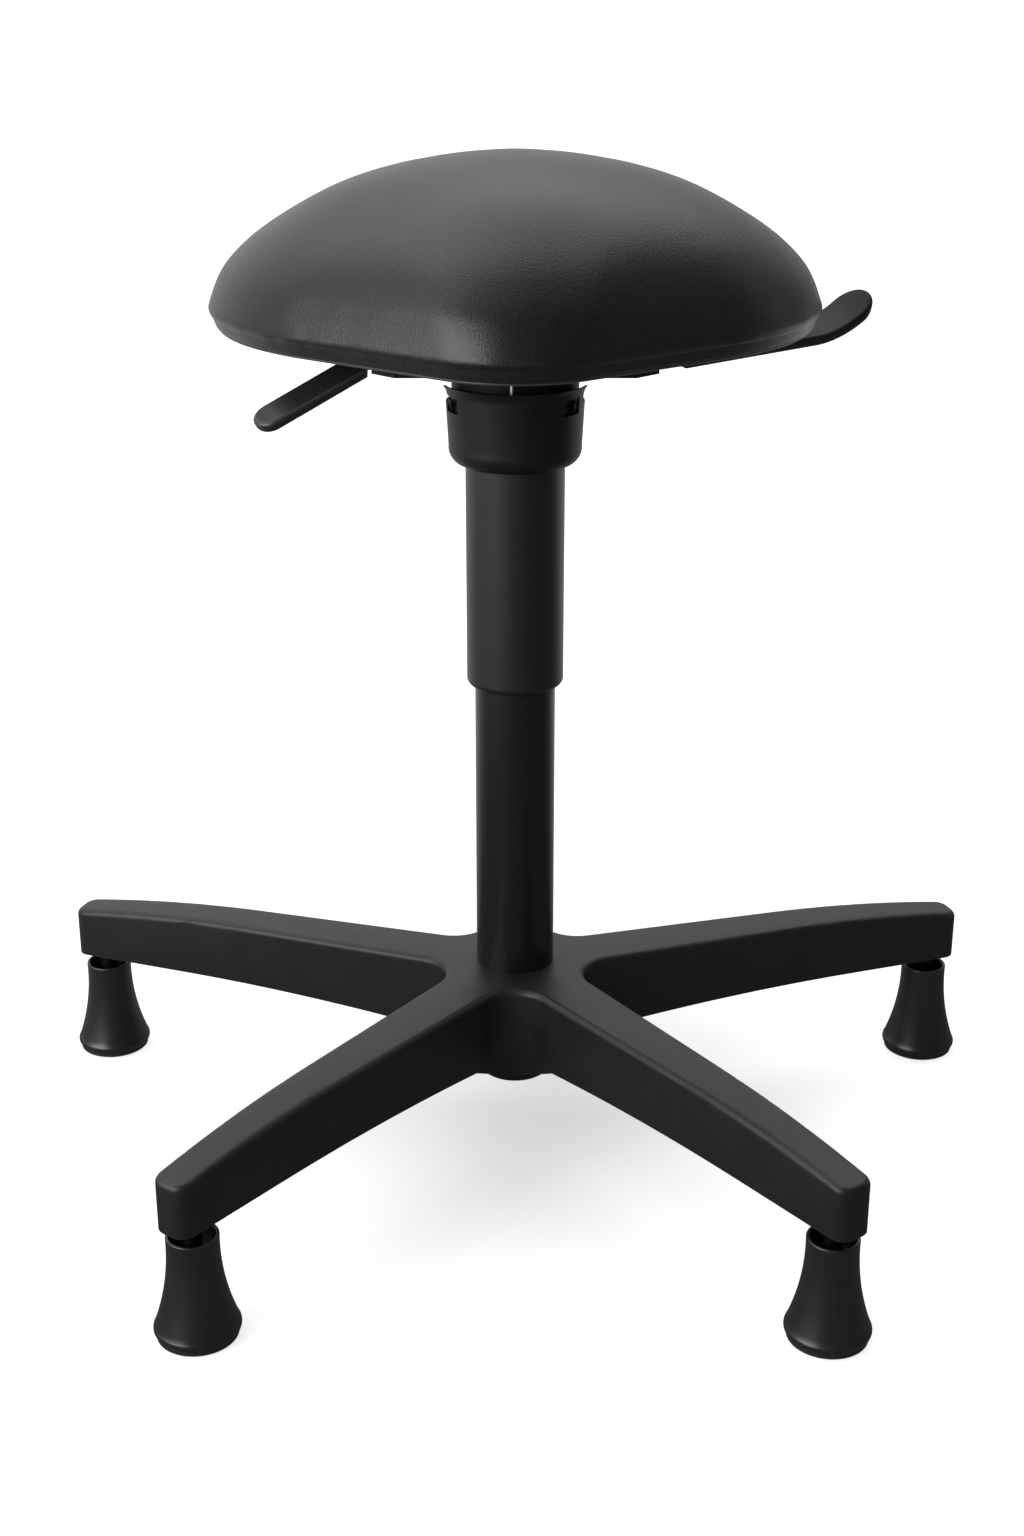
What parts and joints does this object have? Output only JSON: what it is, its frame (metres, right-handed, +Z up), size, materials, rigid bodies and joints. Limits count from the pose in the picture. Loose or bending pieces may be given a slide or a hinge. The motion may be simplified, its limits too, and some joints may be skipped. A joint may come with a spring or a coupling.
{
  "type": "sit-stand stool",
  "caption": "Height-adjustable sit-stand stool with a padded tilting saddle-like dome seat, a gas lift column under a cover sleeve, and a star base on bell feet",
  "frame": {"origin": "on the floor, under the column's axis", "axes": "+Z up, -Y to the front, where the seat's nose points, +X to the side of the tilt lever"},
  "size_m": [0.6273, 0.6003, 0.627],
  "materials": {
    "base_nylon": "fine moulded texture, glass-filled nylon",
    "foot_nylon": "smooth satin",
    "sole_rubber": "dull",
    "zinc_steel": "zinc plated",
    "bright_steel": "ground",
    "black_tube": "semi-gloss black coating",
    "bushing_plastic": "natural acetal",
    "piston_plastic": "turned",
    "seal_rubber": "dull",
    "cover_plastic": "satin black",
    "coated_plate": "black powder coat",
    "lever_nylon": "satin black",
    "birch_plywood": "raw",
    "artificial_leather": "fine pebble grain, black",
    "liner_fleece": "non-woven black",
    "trim_plastic": "flexible edge strip"
  },
  "bodies": {
    "base": {"star_base": "base_nylon", "foot_bell_1": "foot_nylon", "foot_bell_2": "foot_nylon", "foot_bell_3": "foot_nylon", "foot_bell_4": "foot_nylon", "foot_bell_5": "foot_nylon", "foot_sole_1": "sole_rubber", "foot_sole_2": "sole_rubber", "foot_sole_3": "sole_rubber", "foot_sole_4": "sole_rubber", "foot_sole_5": "sole_rubber", "foot_stem_1": "zinc_steel", "foot_stem_2": "zinc_steel", "foot_stem_3": "zinc_steel", "foot_stem_4": "zinc_steel", "foot_stem_5": "zinc_steel", "stem_grip_rings": "zinc_steel", "stand_tube": "black_tube", "guide_bushing": "bushing_plastic", "bearing_lower_race": "bright_steel", "bearing_balls": "bright_steel"},
    "rod": {"piston_rod": "bright_steel", "piston": "piston_plastic", "piston_ring": "seal_rubber", "piston_nut": "zinc_steel", "bearing_upper_race": "bright_steel", "rod_buffer": "seal_rubber", "rod_washer": "zinc_steel", "rod_clip": "zinc_steel"},
    "lift": {"pressure_cylinder": "black_tube", "rod_guide": "bushing_plastic", "rod_seal": "seal_rubber", "cover_sleeve": "cover_plastic", "sleeve_cap": "cover_plastic", "mechanism_tray": "coated_plate", "taper_bush": "zinc_steel", "locating_pin": "zinc_steel", "tilt_pin": "zinc_steel", "tilt_pin_clip": "zinc_steel", "height_lever_pin": "zinc_steel", "friction_discs": "bright_steel", "lock_spacer": "zinc_steel"},
    "button": {"release_button": "zinc_steel"},
    "height_lever": {"height_lever_bar": "coated_plate", "height_lever_grip": "lever_nylon"},
    "tilt_lever": {"tilt_spindle": "zinc_steel", "tilt_lever_grip": "lever_nylon", "lock_cam": "zinc_steel", "lock_nut": "zinc_steel"},
    "seat": {"seat_plate": "coated_plate", "lock_plates": "coated_plate", "seat_bolts": "zinc_steel", "tee_nuts": "zinc_steel", "seat_board": "birch_plywood", "seat_cushion": "artificial_leather", "seat_liner": "liner_fleece", "seat_rim_trim": "trim_plastic"}
  },
  "joints": [
    {"name": "seat_swivel", "type": "hinge", "parent": "base", "child": "rod", "pos_m": [0, 0, 0.04], "axis": [0, 0, 1], "continuous": true},
    {"name": "seat_height", "type": "slide", "parent": "rod", "child": "lift", "axis": [0, 0, 1], "range_m": [-0.07, 0.06]},
    {"name": "height_lever_rock", "type": "hinge", "parent": "lift", "child": "height_lever", "pos_m": [-0.024, 0, 0.5129], "axis": [0, 1, 0], "range_deg": [0, 5], "stiffness_Nm_per_rad": 0.4},
    {"name": "button_press", "type": "slide", "parent": "lift", "child": "button", "axis": [0, 0, 1], "range_m": [-0.0021, 0]},
    {"name": "tilt_lever_turn", "type": "hinge", "parent": "lift", "child": "tilt_lever", "pos_m": [0.095, 0.008, 0.5148], "axis": [1, 0, 0], "range_deg": [-25, 0]},
    {"name": "seat_tilt", "type": "hinge", "parent": "lift", "child": "seat", "pos_m": [0, -0.035, 0.5153], "axis": [1, 0, 0], "range_deg": [0, 12]}
  ],
  "couplings": [
    {"joint": "button_press", "follows": "height_lever_rock", "m_per_rad": -0.024}
  ]
}
